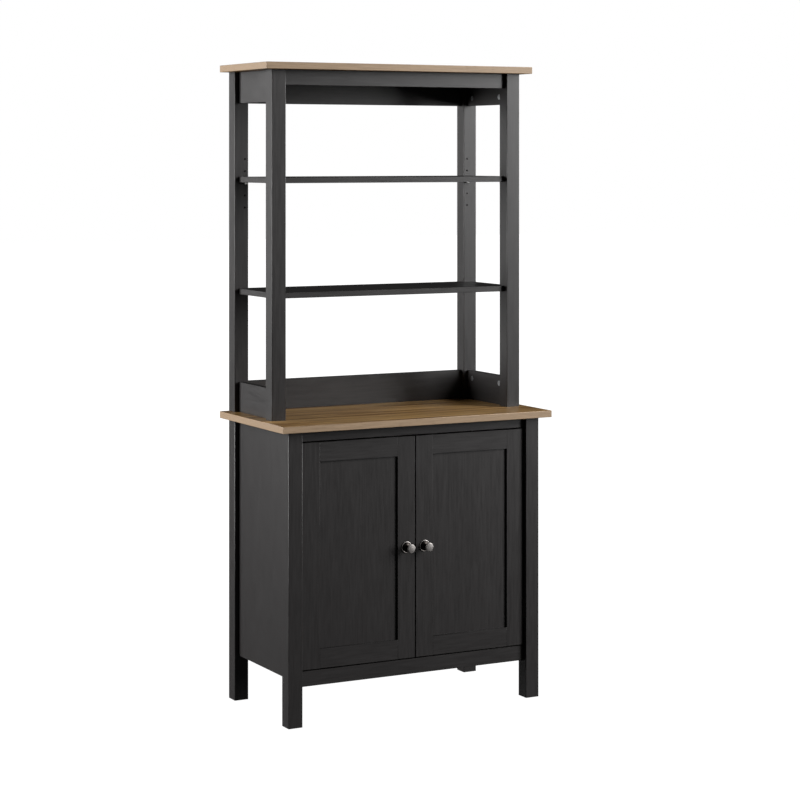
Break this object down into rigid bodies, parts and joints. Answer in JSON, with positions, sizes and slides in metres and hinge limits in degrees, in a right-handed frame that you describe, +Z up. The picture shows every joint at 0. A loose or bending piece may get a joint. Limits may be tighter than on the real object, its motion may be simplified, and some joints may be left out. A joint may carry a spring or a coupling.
{
  "type": "bookcase with doors",
  "caption": "Tall open hutch with shelves and a wooden top, standing on a base cabinet with square legs, a wooden worktop and a pair of hinged framed doors with knobs.",
  "frame": {"origin": "on the floor, under the middle of the worktop", "axes": "+X to the right seen from the front, -Y towards the front, +Z up"},
  "size_m": [0.784, 0.396, 1.675],
  "materials": {
    "black_foil": "satin",
    "back_board": "matte",
    "oak_foil": "satin",
    "glide_plastic": "matte",
    "dark_nickel": "polished",
    "bronze_steel": "satin",
    "zinc": "satin",
    "catch_plastic": "matte",
    "ferrite": "matte",
    "beech": "matte"
  },
  "bodies": {
    "carcass": {"leg_front_left": "black_foil", "leg_front_right": "black_foil", "leg_rear_left": "black_foil", "leg_rear_right": "black_foil", "foot_glides": "glide_plastic", "side_panel_left": "black_foil", "side_panel_right": "black_foil", "bottom_panel": "black_foil", "back_panel": "back_board", "front_top_rail": "black_foil", "front_bottom_rail": "black_foil", "rear_rail": "black_foil", "inner_shelf": "black_foil", "inner_shelf_pins": "zinc", "worktop": "oak_foil", "hinge_leg_leaves": "bronze_steel", "hinge_leg_screws": "bronze_steel", "hinge_pins": "bronze_steel", "catch_housings": "catch_plastic", "catch_magnets": "ferrite", "post_front_left": "black_foil", "post_front_right": "black_foil", "post_rear_left": "black_foil", "post_rear_right": "black_foil", "low_rail_left": "black_foil", "low_rail_right": "black_foil", "low_rail_rear": "black_foil", "fixed_shelf": "black_foil", "upper_shelf": "black_foil", "upper_shelf_pins": "zinc", "apron_front": "black_foil", "apron_left": "black_foil", "apron_right": "black_foil", "apron_rear": "black_foil", "hutch_top": "oak_foil", "cam_locks": "zinc", "cam_bolts": "zinc", "dowels": "beech"},
    "left_door": {"left_door_hinge_stile": "black_foil", "left_door_lock_stile": "black_foil", "left_door_top_rail": "black_foil", "left_door_bottom_rail": "black_foil", "left_door_panel": "black_foil", "left_knob": "dark_nickel", "left_knob_screw": "zinc", "left_hinge_leaves": "bronze_steel", "left_hinge_screws": "bronze_steel", "left_strike_plate": "zinc"},
    "right_door": {"right_door_hinge_stile": "black_foil", "right_door_lock_stile": "black_foil", "right_door_top_rail": "black_foil", "right_door_bottom_rail": "black_foil", "right_door_panel": "black_foil", "right_knob": "dark_nickel", "right_knob_screw": "zinc", "right_hinge_leaves": "bronze_steel", "right_hinge_screws": "bronze_steel", "right_strike_plate": "zinc"}
  },
  "joints": [
    {"name": "left_door_hinge", "type": "hinge", "parent": "carcass", "child": "left_door", "pos_m": [-0.3255, -0.1669, 0.4283], "axis": [0, 0, -1], "range_deg": [0, 110]},
    {"name": "right_door_hinge", "type": "hinge", "parent": "carcass", "child": "right_door", "pos_m": [0.3255, -0.1669, 0.4283], "axis": [0, 0, 1], "range_deg": [0, 110]}
  ]
}
